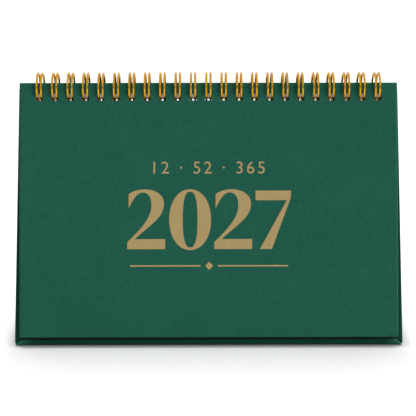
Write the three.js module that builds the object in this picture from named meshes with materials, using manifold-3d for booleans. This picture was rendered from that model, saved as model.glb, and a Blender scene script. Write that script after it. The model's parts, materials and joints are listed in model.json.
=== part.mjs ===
// Tent desk calendar: a hard cover and a pad of leaves on a twin-loop wire,
// hung over a cloth-covered folding easel of two leaning boards and a creased base.
// Millimetres, +Z up, the front faces -Y. The origin is the middle of the footprint.

import * as THREE from 'three';
import { mergeGeometries, mergeVertices } from 'three/addons/utils/BufferGeometryUtils.js';
import Module from 'manifold-3d';

const wasm = await Module();
wasm.setup();

// Driving dimensions: the easel

const leanDegrees = 15; // each board leans this far from upright
const easelOverhang = 0.6; // board beyond the cover, on each side at the top
const easelSplay = 2.4; // further out again at the bottom, on each side
const boardTopDepth = 0.8; // top edge of a board, below the ring centre along the board
const coverFootGap = 2.56; // from the cover's bottom edge down to the base crease
const creaseGap = 1.5; // bare cloth between a stiff board and its crease
const boardSetOff = 0.7; // inner face of a board, out from the ring centre
const boardCore = 1.3; // grey board inside the cloth
const boardSkin = 0.2; // cloth on the outside
const boardLiner = 0.2; // paper on the inside
const boardRim = 0.2; // cloth turned round the edges
const glueLine = 0.1; // adhesive between cloth, board and paper
const baseHalfLength = 31; // stiff part of each half of the base, from its crease
const strapClearance = 0.15; // between a soft strip and the stiff piece that it continues

// Driving dimensions: the wire comb

const loopPitch = 25.4 / 3; // three loops to the inch
const combMargin = 10; // least distance from the cover's side edge to the middle of a loop
const ringRadius = 8; // ring centre to the middle of the wire
const wireDiameter = 1.1;
const twinSpacing = 2.34; // between the two wires of one loop
const spineBend = 0.9; // bend from the spine into a loop, in the surface of the comb
const spineDegrees = 256.5; // where the spine lies, round from +Y, inside the tent
const tipGap = 1.7; // from the closed tip of a loop to the spine, along the ring
const tailLength = 2.5; // spine left beyond the last loop

// Driving dimensions: the cover and the leaves

const holeSize = 4; // square punched hole
const coverHoleDrop = 7.9; // top edge to hole centre, on the cover and the leaves
const coverWidth = 208.1;
const coverHeight = 140.2;
const coverCorner = 0.8;
const leastCorner = 0.15; // radius that a corner keeps in a layer that is set in
const coverSkin = 0.15;
const coverCore = 0.75;
const coverLining = 0.15;
const coverRim = 0.2;
const leafCount = 6;
const leafSideInset = 0.8; // leaf edge, in from the cover's side edge
const leafFootInset = 3.6; // how much shorter a leaf is than the cover
const leafThickness = 0.2;
const leafClearance = 0.15; // air between neighbouring leaves
const padClearance = 0.2; // air between the board, the pad and the cover
const leafHang = 1.1; // how far the hole centres hang below the wire

// Facets

const wireSides = 5;
const loopSteps = 14;
const tipSteps = 4;
const bendSteps = 2;
const cornerSteps = 3;
const creaseSteps = 7;

// Meshing

const weldDistance = 1e-5; // points of one solid that are closer than this are one point
const bendSpan = 3.5; // stretches of wire closer together than this, along it, are one bend

// Values worked out from the driving dimensions

const degree = Math.PI / 180;
const lean = leanDegrees * degree;
const boardThickness = boardLiner + glueLine + boardCore + glueLine + boardSkin;
const boardOuter = boardSetOff + boardThickness;
const leafPitch = leafThickness + leafClearance;
const firstLeaf = boardOuter + padClearance;
const coverInner = firstLeaf + leafCount * leafPitch - leafClearance + padClearance;
const coverThickness = coverLining + glueLine + coverCore + glueLine + coverSkin;
const coverOuter = coverInner + coverThickness;

const coverHoleDepth = wireDepth(coverInner + coverThickness / 2);
const coverTopDepth = coverHoleDepth - coverHoleDrop;
const coverBottomDepth = coverTopDepth + coverHeight;
const leafWidth = coverWidth - 2 * leafSideInset;
const leafHeight = coverHeight - leafFootInset;
const loopCount = Math.floor((coverWidth - 2 * combMargin) / loopPitch) + 1;

const easelTopWidth = coverWidth + 2 * easelOverhang;
const easelBottomWidth = easelTopWidth + 2 * easelSplay;
const creaseDepth = coverBottomDepth + coverFootGap; // below the ring centre along the board
const ringHeight = boardThickness + creaseDepth * Math.cos(lean) - boardSetOff * Math.sin(lean);
const creaseReach = creaseDepth * Math.sin(lean) + boardSetOff * Math.cos(lean);
const boardHoleDepth = wireDepth(boardSetOff + boardThickness / 2);
const boardBottomDepth = creaseDepth - creaseGap;
const sideTaper = easelSplay / (creaseDepth - boardTopDepth);

const frontReach = coverBottomDepth * Math.sin(lean) + coverOuter * Math.cos(lean);
const rearReach = creaseReach + boardThickness;
const footprintShift = (frontReach - rearReach) / 2;

// Depth below the ring centre at which the wire passes a layer that stands this far out.
function wireDepth(setOff) {
  return Math.sqrt(ringRadius ** 2 - setOff ** 2);
}

// Materials

const materials = {
  cloth: new THREE.MeshStandardMaterial({ color: 0x225848, roughness: 0.75, metalness: 0 }),
  board: new THREE.MeshStandardMaterial({ color: 0x1a1c1b, roughness: 0.9, metalness: 0 }),
  liner: new THREE.MeshStandardMaterial({ color: 0x1b2a25, roughness: 0.85, metalness: 0 }),
  paper: new THREE.MeshStandardMaterial({ color: 0xf4f2ec, roughness: 0.8, metalness: 0 }),
  wire: new THREE.MeshStandardMaterial({ color: 0xd9a441, roughness: 0.25, metalness: 1 }),
};

// Outlines are drawn flat: X across, and Y up the slope from the ring centre.

function polygon(points) {
  return new THREE.Shape(points.map(([x, y]) => new THREE.Vector2(x, y)));
}

function easelHalfWidth(depth) {
  return easelTopWidth / 2 + (depth - boardTopDepth) * sideTaper;
}

function boardOutline(inset, bottomDepth) {
  const topDepth = boardTopDepth + inset;
  const topHalf = easelHalfWidth(topDepth) - inset;
  const bottomHalf = easelHalfWidth(bottomDepth) - inset;
  return polygon([
    [-topHalf, -topDepth],
    [-bottomHalf, -bottomDepth],
    [bottomHalf, -bottomDepth],
    [topHalf, -topDepth],
  ]);
}

function coverOutline(inset) {
  const radius = Math.max(coverCorner - inset, leastCorner);
  const right = coverWidth / 2 - inset - radius;
  const top = -coverTopDepth - inset - radius;
  const bottom = -coverBottomDepth + inset + radius;
  const corners = [[right, top], [-right, top], [-right, bottom], [right, bottom]];
  return polygon(corners.flatMap(([x, y], corner) =>
    Array.from({ length: cornerSteps + 1 }, (_, step) => {
      const angle = (corner + step / cornerSteps) * Math.PI / 2;
      return [x + radius * Math.cos(angle), y + radius * Math.sin(angle)];
    })));
}

function leafOutline(topDepth) {
  const half = leafWidth / 2;
  return polygon([
    [-half, -topDepth],
    [-half, -topDepth - leafHeight],
    [half, -topDepth - leafHeight],
    [half, -topDepth],
  ]);
}

function baseOutline(inset, start, end) {
  const half = easelBottomWidth / 2 - inset;
  return polygon([
    [-half, start],
    [half, start],
    [half, end],
    [-half, end],
  ]);
}

function loopCentre(index) {
  return (index - (loopCount - 1) / 2) * loopPitch;
}

// A flat layer: the outline made solid from one distance out to another.
function layer(shape, from, to) {
  const geometry = new THREE.ExtrudeGeometry(shape, { depth: to - from, bevelEnabled: false });
  geometry.translate(0, 0, from);
  return toSolid(geometry);
}

// The punch: a row of square pins, one for each twin loop, long enough for every layer.
function punch(solid, holeDepth) {
  const reach = 2 * coverOuter;
  const pins = Array.from({ length: loopCount }, (_, index) => {
    const pin = new THREE.BoxGeometry(holeSize, holeSize, 2 * reach);
    return pin.translate(loopCentre(index), -holeDepth, 0);
  });
  return solid.subtract(toSolid(mergeGeometries(pins)));
}

function toSolid(geometry) {
  const bare = geometry.clone();
  bare.deleteAttribute('normal');
  bare.deleteAttribute('uv');
  const merged = mergeVertices(bare, weldDistance);
  return new wasm.Manifold(new wasm.Mesh({
    numProp: 3,
    vertProperties: Float32Array.from(merged.attributes.position.array),
    triVerts: Uint32Array.from(merged.index.array),
  }));
}

function toGeometry(solid) {
  const mesh = solid.getMesh();
  const geometry = new THREE.BufferGeometry();
  geometry.setAttribute('position', new THREE.BufferAttribute(Float32Array.from(mesh.vertProperties), 3));
  geometry.setIndex(new THREE.BufferAttribute(Uint32Array.from(mesh.triVerts), 1));
  geometry.computeVertexNormals();
  return geometry;
}

function addPiece(group, name, geometry, material) {
  const mesh = new THREE.Mesh(geometry, material);
  mesh.name = name;
  group.add(mesh);
}

function addSolid(group, name, solid, material) {
  addPiece(group, name, toGeometry(solid), material);
}

// A leaning board: covering cloth outside, stiff board in the middle, lining paper inside.
// The cloth is a tray, with its edges turned round the board, and it is open at the crease.
function leaningBoard(side) {
  const coreInset = boardRim + glueLine;
  const linerOuter = boardSetOff + boardLiner;
  const coreOuter = boardOuter - boardSkin - glueLine;
  const block = layer(boardOutline(0, boardBottomDepth), boardSetOff, boardOuter);
  const pocket = layer(boardOutline(boardRim, creaseDepth), boardSetOff - boardSkin, boardOuter - boardSkin);
  const core = layer(boardOutline(coreInset, boardBottomDepth), linerOuter + glueLine, coreOuter);
  const liner = layer(boardOutline(coreInset, boardBottomDepth), boardSetOff, linerOuter);

  const group = new THREE.Group();
  addSolid(group, `${side}_board_wrap`, punch(block.subtract(pocket), boardHoleDepth), materials.cloth);
  addSolid(group, `${side}_board_core`, punch(core, boardHoleDepth), materials.board);
  addSolid(group, `${side}_board_liner`, punch(liner, boardHoleDepth), materials.liner);
  return group;
}

// One half of the base, drawn from its crease towards the middle of the tent. Its cloth
// is a tray too, open at both creases, and a soft strip goes on to the middle crease.
function baseHalf(side) {
  const coreInset = boardRim + glueLine;
  const coreBottom = boardSkin + glueLine;
  const coreTop = coreBottom + boardCore;
  const block = layer(baseOutline(0, creaseGap, baseHalfLength), 0, boardThickness);
  const pocket = layer(baseOutline(boardRim, 0, creaseReach), boardSkin, boardThickness + boardSkin);
  const stiff = baseOutline(coreInset, creaseGap, baseHalfLength);
  const strip = baseOutline(0, baseHalfLength + strapClearance, creaseReach - strapClearance);

  const group = new THREE.Group();
  addSolid(group, `base_${side}_wrap`, block.subtract(pocket), materials.cloth);
  addSolid(group, `base_${side}_core`, layer(stiff, coreBottom, coreTop), materials.board);
  addSolid(group, `base_${side}_liner`, layer(stiff, coreTop + glueLine, boardThickness), materials.liner);
  addSolid(group, `centre_crease_${side}`, layer(strip, 0, boardSkin), materials.cloth);
  group.position.set(0, -creaseReach, 0);
  return group;
}

// Soft cloth round the bottom edge: straight off the board, a quarter turn and a bit
// about the crease, and straight on to the base. Drawn across the tent and swept along X.
function creaseStrip() {
  const outerRadius = boardThickness;
  const innerRadius = boardThickness - boardSkin;
  const run = creaseGap - strapClearance;
  const fromAngle = Math.PI - lean;
  const toAngle = 1.5 * Math.PI;
  const upSlope = new THREE.Vector2(Math.sin(lean), Math.cos(lean));
  const along = new THREE.Vector2(1, 0);

  const arc = (radius, from, to) => Array.from({ length: creaseSteps + 1 }, (_, step) => {
    const angle = from + (to - from) * step / creaseSteps;
    return new THREE.Vector2(radius * Math.cos(angle), radius * Math.sin(angle));
  });
  const outer = arc(outerRadius, fromAngle, toAngle);
  const inner = arc(innerRadius, toAngle, fromAngle);
  const profile = [
    outer[0].clone().addScaledVector(upSlope, run),
    ...outer,
    outer[creaseSteps].clone().addScaledVector(along, run),
    inner[0].clone().addScaledVector(along, run),
    ...inner,
    inner[creaseSteps].clone().addScaledVector(upSlope, run),
  ];
  const geometry = new THREE.ExtrudeGeometry(new THREE.Shape(profile), {
    depth: easelBottomWidth,
    bevelEnabled: false,
  });
  // The profile's X becomes +Y and its Y becomes +Z, so the sweep runs along +X.
  geometry.applyMatrix4(new THREE.Matrix4().makeBasis(
    new THREE.Vector3(0, 1, 0),
    new THREE.Vector3(0, 0, 1),
    new THREE.Vector3(1, 0, 0),
  ));
  geometry.translate(-easelBottomWidth / 2, -creaseReach, boardThickness);
  return geometry;
}

// The wire comb unrolled: x runs along the spine, s round the ring. The wire goes along
// the spine, bends up into a loop, turns at its tip, comes back and goes on.
function combPath() {
  const ringLength = 2 * Math.PI * ringRadius - tipGap;
  const half = twinSpacing / 2;
  const points = [];
  const turn = (x, s, radius, from, to, steps) => {
    for (let step = 0; step <= steps; step += 1) {
      const angle = from + (to - from) * step / steps;
      points.push({ x: x + radius * Math.cos(angle), s: s + radius * Math.sin(angle) });
    }
  };
  const leg = (x, from, to) => {
    for (let step = 1; step < loopSteps; step += 1) {
      points.push({ x, s: from + (to - from) * step / loopSteps });
    }
  };
  points.push({ x: loopCentre(0) - half - tailLength, s: 0 });
  for (let index = 0; index < loopCount; index += 1) {
    const x = loopCentre(index);
    const tip = ringLength - half;
    turn(x - half - spineBend, spineBend, spineBend, -Math.PI / 2, 0, bendSteps);
    leg(x - half, spineBend, tip);
    turn(x, tip, half, Math.PI, 0, tipSteps);
    leg(x + half, tip, spineBend);
    turn(x + half + spineBend, spineBend, spineBend, Math.PI, 1.5 * Math.PI, bendSteps);
  }
  points.push({ x: loopCentre(loopCount - 1) + half + tailLength, s: 0 });
  return points;
}

// A point of the unrolled path on the ring, with the direction out from the ring's axis.
function onRing({ x, s }) {
  const angle = spineDegrees * degree - s / ringRadius;
  const out = new THREE.Vector3(0, Math.cos(angle), Math.sin(angle));
  return { place: out.clone().multiplyScalar(ringRadius).setX(x), out };
}

// One unbroken round wire along the path. Each section stands square to the wire.
function wireTube(path) {
  const stations = path.map(onRing);
  const last = stations.length - 1;
  const positions = [];
  const triangles = [];
  stations.forEach(({ place, out }, index) => {
    const before = stations[Math.max(index - 1, 0)].place;
    const after = stations[Math.min(index + 1, last)].place;
    const along = after.clone().sub(before).normalize();
    const across = along.clone().cross(out).normalize();
    const up = across.clone().cross(along);
    for (let side = 0; side < wireSides; side += 1) {
      const angle = 2 * Math.PI * side / wireSides;
      const point = place.clone()
        .addScaledVector(across, wireDiameter / 2 * Math.cos(angle))
        .addScaledVector(up, wireDiameter / 2 * Math.sin(angle));
      positions.push(point.x, point.y, point.z);
    }
  });
  for (let index = 0; index < last; index += 1) {
    for (let side = 0; side < wireSides; side += 1) {
      const next = (side + 1) % wireSides;
      const a = index * wireSides + side;
      const b = index * wireSides + next;
      const c = a + wireSides;
      const d = b + wireSides;
      triangles.push(a, c, b, b, c, d);
    }
  }
  const lastRing = last * wireSides;
  for (let side = 1; side < wireSides - 1; side += 1) {
    triangles.push(0, side, side + 1);
    triangles.push(lastRing, lastRing + side + 1, lastRing + side);
  }
  const geometry = new THREE.BufferGeometry();
  geometry.setAttribute('position', new THREE.Float32BufferAttribute(positions, 3));
  geometry.setIndex(triangles);
  geometry.computeVertexNormals();
  return geometry;
}

// Least air between two stretches of the wire, measured on the path's points.
function leastSelfGap(path) {
  const places = path.map((point) => onRing(point).place);
  const travelled = [0];
  for (let index = 1; index < places.length; index += 1) {
    travelled.push(travelled[index - 1] + places[index].distanceTo(places[index - 1]));
  }
  let least = Infinity;
  for (let one = 0; one < places.length; one += 1) {
    for (let other = one + 1; other < places.length; other += 1) {
      if (travelled[other] - travelled[one] > bendSpan) {
        least = Math.min(least, places[one].distanceTo(places[other]));
      }
    }
  }
  return least - wireDiameter;
}

function wireComb() {
  const path = combPath();
  console.log(`wire comb: least gap to itself ${leastSelfGap(path).toFixed(2)} mm`);
  return wireTube(path);
}

// The hard cover, and the leaves from the board outwards. Each has its row of holes
// where the ring passes it, and a leaf hangs a little lower on the wire.
function coverAndLeaves() {
  const group = new THREE.Group();
  const coreInset = coverRim + glueLine;
  const liningOuter = coverInner + coverLining;
  const coreInner = liningOuter + glueLine;
  const block = layer(coverOutline(0), coverInner, coverOuter);
  const pocket = layer(coverOutline(coverRim), coverInner - coverSkin, coverOuter - coverSkin);
  const core = layer(coverOutline(coreInset), coreInner, coreInner + coverCore);
  const lining = layer(coverOutline(coreInset), coverInner, liningOuter);
  addSolid(group, 'cover_wrap', punch(block.subtract(pocket), coverHoleDepth), materials.cloth);
  addSolid(group, 'cover_core', punch(core, coverHoleDepth), materials.board);
  addSolid(group, 'cover_lining', punch(lining, coverHoleDepth), materials.paper);
  for (let index = 0; index < leafCount; index += 1) {
    const inner = firstLeaf + index * leafPitch;
    const holeDepth = wireDepth(inner + leafThickness / 2) + leafHang;
    const leaf = layer(leafOutline(holeDepth - coverHoleDrop), inner, inner + leafThickness);
    addSolid(group, `leaf_0${index + 1}`, punch(leaf, holeDepth), materials.paper);
  }
  return group;
}

// Assembly. The sloping groups are drawn flat and tipped up about the ring centre,
// and the rear half of the easel is the front half turned round.

function tippedUp(group) {
  group.rotation.x = Math.PI / 2 - lean;
  group.position.set(0, 0, ringHeight);
  return group;
}

const calendar = new THREE.Group();
calendar.position.set(0, footprintShift, 0);

const rearSide = new THREE.Group();
rearSide.rotation.z = Math.PI;
calendar.add(rearSide);

calendar.add(tippedUp(leaningBoard('front')));
calendar.add(tippedUp(coverAndLeaves()));
calendar.add(baseHalf('front'));
addPiece(calendar, 'front_crease', creaseStrip(), materials.cloth);

rearSide.add(tippedUp(leaningBoard('rear')));
rearSide.add(baseHalf('rear'));
addPiece(rearSide, 'rear_crease', creaseStrip(), materials.cloth);

const comb = new THREE.Group();
comb.position.set(0, 0, ringHeight);
addPiece(comb, 'wire_comb', wireComb(), materials.wire);
calendar.add(comb);

export default calendar;
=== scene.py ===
# %% [markdown]
# A tent desk calendar, dressed for its photograph.
#
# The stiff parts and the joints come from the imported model, which fixes every size and
# place. This script gives each surface its real finish, and swaps a few plain solids for
# finer surfaces in the same place: cloth with rolled edges, round wire, soft creases.
# Each step first says what is made, how it could be made, and why it is made this way.

# %% Load the fixed frame
import calendar
import json
import math

import bpy
import numpy as np
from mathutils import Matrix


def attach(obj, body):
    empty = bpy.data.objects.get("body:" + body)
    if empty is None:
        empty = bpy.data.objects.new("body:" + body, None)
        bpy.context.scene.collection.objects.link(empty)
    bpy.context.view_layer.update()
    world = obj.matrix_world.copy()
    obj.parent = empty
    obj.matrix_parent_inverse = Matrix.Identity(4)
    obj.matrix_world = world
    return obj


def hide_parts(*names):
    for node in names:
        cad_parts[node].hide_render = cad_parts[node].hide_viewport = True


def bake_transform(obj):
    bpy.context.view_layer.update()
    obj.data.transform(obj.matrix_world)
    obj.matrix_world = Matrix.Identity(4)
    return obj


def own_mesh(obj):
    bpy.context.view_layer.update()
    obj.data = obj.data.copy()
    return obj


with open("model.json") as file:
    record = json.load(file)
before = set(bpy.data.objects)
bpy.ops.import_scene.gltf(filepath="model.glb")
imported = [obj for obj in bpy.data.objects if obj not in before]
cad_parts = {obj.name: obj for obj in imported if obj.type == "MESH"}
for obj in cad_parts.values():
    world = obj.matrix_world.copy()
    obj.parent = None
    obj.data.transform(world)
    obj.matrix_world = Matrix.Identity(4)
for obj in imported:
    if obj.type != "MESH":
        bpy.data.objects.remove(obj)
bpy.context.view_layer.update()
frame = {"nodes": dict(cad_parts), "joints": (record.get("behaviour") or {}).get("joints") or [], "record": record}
print("pieces in the frame:", len(frame["nodes"]))

# %% [markdown]
# Both boards lean against each other at the ring's centre. A point on a board is easiest
# to say in the board's own terms: how far across, how far down the slope from the ring's
# centre, and how far out from the tent. A piece could be modelled flat and its object then
# turned, but here a piece's place belongs in its mesh, so one function turns these three
# into a place in the room. The ring's centre and the creases are read from the joints.

# %% Places on the slope, in millimetres
MM = 0.001
LEAN = math.radians(15)

joint_place = {joint["name"]: np.array(joint["pos_m"]) / MM for joint in frame["joints"]}
RING_CENTRE = joint_place["cover_turn"]
FRONT_CREASE = joint_place["base_front_fold"]
REAR_CREASE = joint_place["base_rear_fold"]


def on_slope(x, depth, out, side):
    """Place of a point across, down the slope and out from it. side is +1 in front, -1 behind.

    y = centre - side * (depth * sin(lean) + out * cos(lean)), and
    z = centre - depth * cos(lean) + out * sin(lean).
    """
    x, depth, out = np.broadcast_arrays(x, depth, out)
    y = RING_CENTRE[1] - side * (depth * math.sin(LEAN) + out * math.cos(LEAN))
    z = RING_CENTRE[2] - depth * math.cos(LEAN) + out * math.sin(LEAN)
    return np.stack([x * side, y, z], axis=-1)


print("ring centre, mm:", RING_CENTRE.round(2))
print("from crease to crease, mm:", round(REAR_CREASE[1] - FRONT_CREASE[1], 2))

# %% [markdown]
# Blender keeps a surface as points, and as faces that name their points by number. Cloth, a
# crease and a wire are all grids of points, so one function numbers a grid's faces and
# another makes the object. The place is in the mesh and the object stays at the origin, as
# the parts of the frame do. A sheet without thickness would look like foil from its edge,
# so a Solidify modifier gives cloth its real wall, on its inner side.

# %% A piece from points and faces
def grid_faces(rows, columns, keep=None):
    """Four-cornered faces between neighbouring points of a grid, or only those where keep is true."""
    index = np.arange(rows * columns).reshape(rows, columns)
    quads = np.stack([index[:-1, :-1], index[:-1, 1:], index[1:, 1:], index[1:, :-1]], axis=-1)
    return quads.reshape(-1, 4) if keep is None else quads[keep]


def new_piece(name, points_mm, faces, material, smooth=True):
    """A mesh object at the origin, from points in millimetres."""
    mesh = bpy.data.meshes.new(name)
    mesh.from_pydata((points_mm.reshape(-1, 3) * MM).tolist(), [], np.asarray(faces, object).tolist())
    mesh.polygons.foreach_set("use_smooth", np.full(len(mesh.polygons), smooth))
    mesh.materials.append(material)
    mesh.update()
    piece = bpy.data.objects.new(name, mesh)
    bpy.context.scene.collection.objects.link(piece)
    return piece


def thicken(piece, thickness_mm):
    """Gives a surface its real thickness, to its inner side, and evens its normals."""
    wall = piece.modifiers.new("thickness", "SOLIDIFY")
    wall.thickness = thickness_mm * MM
    wall.offset = -1.0
    wall.use_even_offset = True
    even = piece.modifiers.new("normals", "WEIGHTED_NORMAL")
    even.keep_sharp = True
    return piece


print("faces between 3 by 4 points:", len(grid_faces(3, 4)))

# %% [markdown]
# A material is a small network of nodes. It can be drawn by hand in the shader editor, but
# written down it can be read and repeated. One helper adds a node with its settings and its
# links, and one function turns the hex colours of a paint chart into linear light, which is
# what a renderer counts in.

# %% Colour and node helpers
def linear(hex_colour):
    """sRGB hex to linear RGBA: c / 12.92 near black, else ((c + 0.055) / 1.055) ** 2.4."""
    channels = np.array([int(hex_colour[i:i + 2], 16) for i in (1, 3, 5)]) / 255
    bright = ((channels + 0.055) / 1.055) ** 2.4
    return (*np.where(channels <= 0.04045, channels / 12.92, bright), 1.0)


def add(tree, kind, settings=None, stops=(), **sockets):
    """Adds a node. settings are its properties, and stops a colour ramp's places and colours.

    A socket is named by its identifier, which is unique in a node, with underscores for spaces.
    It gets a number, a colour or another node's output.
    """
    node = tree.nodes.new(kind)
    for key, value in (settings or {}).items():
        setattr(node, key, value)
    own = {socket.identifier.replace(" ", "_"): socket for socket in node.inputs}
    for key, value in sockets.items():
        if isinstance(value, bpy.types.NodeSocket):
            tree.links.new(value, own[key])
        else:
            own[key].default_value = value
    if stops:
        node.color_ramp.elements.remove(node.color_ramp.elements[1])
        node.color_ramp.elements[0].position, node.color_ramp.elements[0].color = stops[0]
        for place, colour in stops[1:]:
            node.color_ramp.elements.new(place).color = colour
    return node


print("middle grey of the screen in linear light:", round(float(linear("#808080")[0]), 3))

# %% [markdown]
# Patterns read Object coordinates, which are real metres here, so a pattern stays in place
# on its piece when the piece moves. A texture's scale is its repeats in a metre, so each
# pattern's size in millimetres is turned into one. Noise stays near its middle value: the
# two colours that it mixes stand on both sides of the middle, so that both show.

# %% The start of a material, and the size and shades of a pattern
def start_material(name):
    """A material with an empty network, and the Object coordinates that its patterns read."""
    material = bpy.data.materials.new(name)
    material.use_nodes = True
    tree = material.node_tree
    tree.nodes.clear()
    return material, tree, add(tree, "ShaderNodeTexCoord").outputs["Object"]


def repeats(size_mm):
    """Scale of a texture whose features are size_mm across: 1 / size in metres."""
    return 1 / (size_mm * MM)


def shades(low, high, start=0.35, end=0.65):
    """Two stops of a colour ramp, from hex colours."""
    return ((start, linear(low)), (end, linear(high)))


print("scale of a pattern 1 mm across:", round(repeats(1)))

# %% [markdown]
# The covering is book cloth that is filled and coated until it has a closed, leather-like
# grain. It is almost matt, with a soft sheen at a low angle. The dye takes a little
# unevenly, in clouds of a few centimetres, and fine flecks follow the grain. A woven pattern
# would be wrong here: smoothed cells mixed with noise give the pressed grain. Where a mesh
# carries a paler share as a point attribute, the cloth is painted paler there: painted light.

# %% Green book cloth
DYE_CLOUD = 24.0
FLECK = 0.9
# The real grain is about 0.3 mm. It is drawn nearly twice as coarse, so that it shows.
PRESSED_GRAIN = 0.55
GRAIN_DEPTH = 0.06
FLECKS_TO_CLOUD = 6.0
CELLS_TO_FLECKS = 0.6
COLOUR_RESULT = 2


def book_cloth(name, deep, light):
    """Coated cloth: shade = (6 fleck + cloud) / 7, and height = 0.6 cell + fleck."""
    material, tree, place = start_material(name)
    multiply_add = {"operation": "MULTIPLY_ADD"}
    cloud = add(tree, "ShaderNodeTexNoise", Vector=place, Scale=repeats(DYE_CLOUD),
                Detail=4.0, Roughness=0.55).outputs["Fac"]
    fleck = add(tree, "ShaderNodeTexNoise", Vector=place, Scale=repeats(FLECK),
                Detail=5.0, Roughness=0.7).outputs["Fac"]
    mixed = add(tree, "ShaderNodeMath", multiply_add, Value=fleck, Value_001=FLECKS_TO_CLOUD,
                Value_002=cloud)
    shade = add(tree, "ShaderNodeMath", {"operation": "MULTIPLY"}, Value=mixed.outputs[0],
                Value_001=1 / (FLECKS_TO_CLOUD + 1))
    dyed = add(tree, "ShaderNodeValToRGB", Fac=shade.outputs[0], stops=shades(deep, light, 0.38, 0.62))
    # Painted light: the cloth turns paler where the mesh's attribute asks, at the crease ends.
    painted_light = add(tree, "ShaderNodeAttribute", {"attribute_name": "painted_light"})
    colour = add(tree, "ShaderNodeMix", {"data_type": "RGBA"}, Factor_Float=painted_light.outputs["Fac"],
                 A_Color=dyed.outputs["Color"], B_Color=linear("#2c6253"))
    cells = add(tree, "ShaderNodeTexVoronoi", {"feature": "SMOOTH_F1"}, Vector=place,
                Scale=repeats(PRESSED_GRAIN), Smoothness=0.6)
    height = add(tree, "ShaderNodeMath", multiply_add, Value=cells.outputs["Distance"],
                 Value_001=CELLS_TO_FLECKS, Value_002=fleck)
    bump = add(tree, "ShaderNodeBump", Height=height.outputs[0], Strength=0.35,
               Distance=GRAIN_DEPTH * MM)
    rough = add(tree, "ShaderNodeMapRange", Value=fleck, To_Min=0.5, To_Max=0.68)
    shader = add(tree, "ShaderNodeBsdfPrincipled", Base_Color=colour.outputs[COLOUR_RESULT],
                 Normal=bump.outputs["Normal"], Roughness=rough.outputs[0],
                 Specular_IOR_Level=0.08, Sheen_Weight=0.2, Sheen_Tint=linear("#9fd0bd"))
    add(tree, "ShaderNodeOutputMaterial", Surface=shader.outputs["BSDF"])
    return material


green_cloth = book_cloth("green_book_cloth", "#134a3a", "#205848")
# The easel's cloth is darker than the cover's by painted shade: the cover's shadow and the crease turning under.
easel_cloth_painted_shade = book_cloth("shaded_green_book_cloth", "#003527", "#063f30")
print("cloths:", green_cloth.name, "and", easel_cloth_painted_shade.name)

# %% [markdown]
# Under the cloth is bookbinding board, pressed from fibres and drawn black through and
# through; the black also serves as painted shade inside the punched holes. It shows only in
# the punched holes and at the creases, dull as cut fibres are. The lining is plain dark green
# paper, and the leaves are white uncoated paper. All three are felts of fibre, so one function
# makes them: cloudy colour, and a faint bump from the same noise. A single fibre is finer
# than a pixel, so its clumps are drawn.

# %% Board and papers
def paper_like(name, low, high, clump_mm, roughness, bump_mm):
    """Felt of fibres, cloudy in colour, with its clumps as a bump."""
    material, tree, place = start_material(name)
    clump = add(tree, "ShaderNodeTexNoise", Vector=place, Scale=repeats(clump_mm),
                Detail=6.0, Roughness=0.65).outputs["Fac"]
    colour = add(tree, "ShaderNodeValToRGB", Fac=clump, stops=shades(low, high))
    bump = add(tree, "ShaderNodeBump", Height=clump, Strength=0.4, Distance=bump_mm * MM)
    shader = add(tree, "ShaderNodeBsdfPrincipled", Base_Color=colour.outputs["Color"],
                 Normal=bump.outputs["Normal"], Roughness=roughness, Specular_IOR_Level=0.3)
    add(tree, "ShaderNodeOutputMaterial", Surface=shader.outputs["BSDF"])
    return material


# Black, which also serves as painted shade inside the punched holes.
black_board_and_hole_shade = paper_like("black_binding_board", "#060707", "#0f1010",
                         clump_mm=0.5, roughness=0.9, bump_mm=0.05)
lining_paper = paper_like("green_lining_paper", "#163f33", "#1b4a3c",
                          clump_mm=0.8, roughness=0.75, bump_mm=0.03)
leaf_paper = paper_like("white_uncoated_paper", "#f1efe9", "#faf8f3",
                        clump_mm=0.7, roughness=0.7, bump_mm=0.02)
print("papers:", black_board_and_hole_shade.name, lining_paper.name, leaf_paper.name)

# %% [markdown]
# The comb is low-carbon steel wire, drawn and then coated with a bright gold lacquer. A metal
# shows its colour in its reflections: pale gold towards the room, and brown where it looks
# into itself. So the shader is fully metallic, and noise a little broader than the wire varies
# its colour and its gloss, as the lacquer runs.

# %% Gold lacquered wire
LACQUER_STREAK = 1.6


def gold_lacquer():
    """Bright lacquered metal. One noise gives both its shade and its roughness."""
    material, tree, place = start_material("gold_lacquered_steel_wire")
    streak = add(tree, "ShaderNodeTexNoise", Vector=place, Scale=repeats(LACQUER_STREAK),
                 Detail=3.0, Roughness=0.55).outputs["Fac"]
    colour = add(tree, "ShaderNodeValToRGB", Fac=streak, stops=shades("#c4931d", "#d29f2b"))
    rough = add(tree, "ShaderNodeMapRange", Value=streak, To_Min=0.16, To_Max=0.28)
    shader = add(tree, "ShaderNodeBsdfPrincipled", Base_Color=colour.outputs["Color"],
                 Roughness=rough.outputs[0], Metallic=1.0)
    add(tree, "ShaderNodeOutputMaterial", Surface=shader.outputs["BSDF"])
    return material


gold_wire = gold_lacquer()
print("wire finish:", gold_wire.name)

# %% [markdown]
# The figures are hot-stamped foil in a matt champagne tone. Such foil is a lacquer with a
# little metal in it, pressed into the cloth. It takes up the grain of the cloth under it, so
# it doesn't mirror the room: a quarter metallic, half rough, with a fine bump.

# %% Champagne foil
FOIL_SPECK = 0.5


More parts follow.
